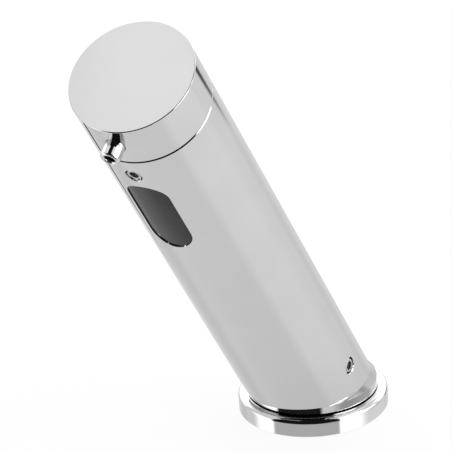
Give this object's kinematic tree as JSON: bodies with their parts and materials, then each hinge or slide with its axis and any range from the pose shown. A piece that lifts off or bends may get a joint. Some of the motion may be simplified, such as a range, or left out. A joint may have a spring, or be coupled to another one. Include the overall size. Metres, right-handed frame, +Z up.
{
  "type": "automatic soap dispenser",
  "caption": "Deck-mounted touch-free soap spout: a round foot, a straight leaning tube with a dark oval sensor window, and a lift-off head with a small nozzle.",
  "frame": {"origin": "centre of the round foot on the deck plane", "axes": "+Z up from the deck, -Y towards the user, where the tube leans; the foot lock screw is on the +X side"},
  "size_m": [0.0498, 0.1452, 0.17],
  "materials": {
    "base_flange": "polished chrome plating",
    "deck_gasket": "black rubber",
    "collar_seal": "black rubber",
    "base_core": "polished chrome plating",
    "spigot_ring_lower": "black rubber",
    "spigot_ring_upper": "black rubber",
    "inlet_union": "off-white moulded plastic",
    "inlet_ring": "black rubber",
    "soap_tube": "milky flexible tube",
    "lead_gland": "black rubber",
    "sensor_lead": "black lead jacket",
    "lead_plug": "off-white moulded plastic",
    "body_tube": "polished chrome plating",
    "sensor_window": "polished black infrared window",
    "window_gasket": "black rubber",
    "sensor_housing": "black moulded plastic",
    "housing_cover": "black moulded plastic",
    "sensor_board": "green circuit board",
    "ir_emitter": "clear violet resin",
    "ir_receiver": "black resin",
    "housing_screw_upper": "bright stainless steel",
    "housing_screw_lower": "bright stainless steel",
    "lead_socket": "black moulded plastic",
    "sensor_carrier": "off-white moulded plastic",
    "head_cap": "polished chrome plating",
    "head_ring": "black rubber",
    "nozzle": "polished chrome plating",
    "nozzle_ring": "black rubber",
    "drip_valve": "off-white moulded plastic",
    "outlet_elbow": "off-white moulded plastic",
    "elbow_ring": "black rubber",
    "head_lock_screw": "bright stainless steel",
    "foot_lock_screw": "bright stainless steel"
  },
  "bodies": {
    "base": {"base_flange": "base_flange", "deck_gasket": "deck_gasket", "collar_seal": "collar_seal", "base_core": "base_core", "spigot_ring_lower": "spigot_ring_lower", "spigot_ring_upper": "spigot_ring_upper", "inlet_union": "inlet_union", "inlet_ring": "inlet_ring", "soap_tube": "soap_tube", "lead_gland": "lead_gland", "sensor_lead": "sensor_lead", "lead_plug": "lead_plug"},
    "spout": {"body_tube": "body_tube", "sensor_window": "sensor_window", "window_gasket": "window_gasket", "sensor_housing": "sensor_housing", "housing_cover": "housing_cover", "sensor_board": "sensor_board", "ir_emitter": "ir_emitter", "ir_receiver": "ir_receiver", "housing_screw_upper": "housing_screw_upper", "housing_screw_lower": "housing_screw_lower", "lead_socket": "lead_socket", "sensor_carrier": "sensor_carrier"},
    "head": {"head_cap": "head_cap", "head_ring": "head_ring", "nozzle": "nozzle", "nozzle_ring": "nozzle_ring", "drip_valve": "drip_valve", "outlet_elbow": "outlet_elbow", "elbow_ring": "elbow_ring"},
    "head_screw": {"head_lock_screw": "head_lock_screw"},
    "foot_screw": {"foot_lock_screw": "foot_lock_screw"}
  },
  "joints": [
    {"name": "spout_lift", "type": "slide", "parent": "base", "child": "spout", "axis": [0, -0.5577, 0.83], "range_m": [0, 0.045]},
    {"name": "head_lift", "type": "slide", "parent": "spout", "child": "head", "axis": [0, -0.5577, 0.83], "range_m": [0, 0.02]},
    {"name": "head_screw_turn", "type": "hinge", "parent": "spout", "child": "head_screw", "pos_m": [0, -0.1037, 0.12918], "axis": [0, -0.83, -0.5577], "range_deg": [0, 450]},
    {"name": "foot_screw_turn", "type": "hinge", "parent": "spout", "child": "foot_screw", "pos_m": [0.0178, -0.01056, 0.02249], "axis": [1, 0, 0], "range_deg": [0, 450]}
  ]
}
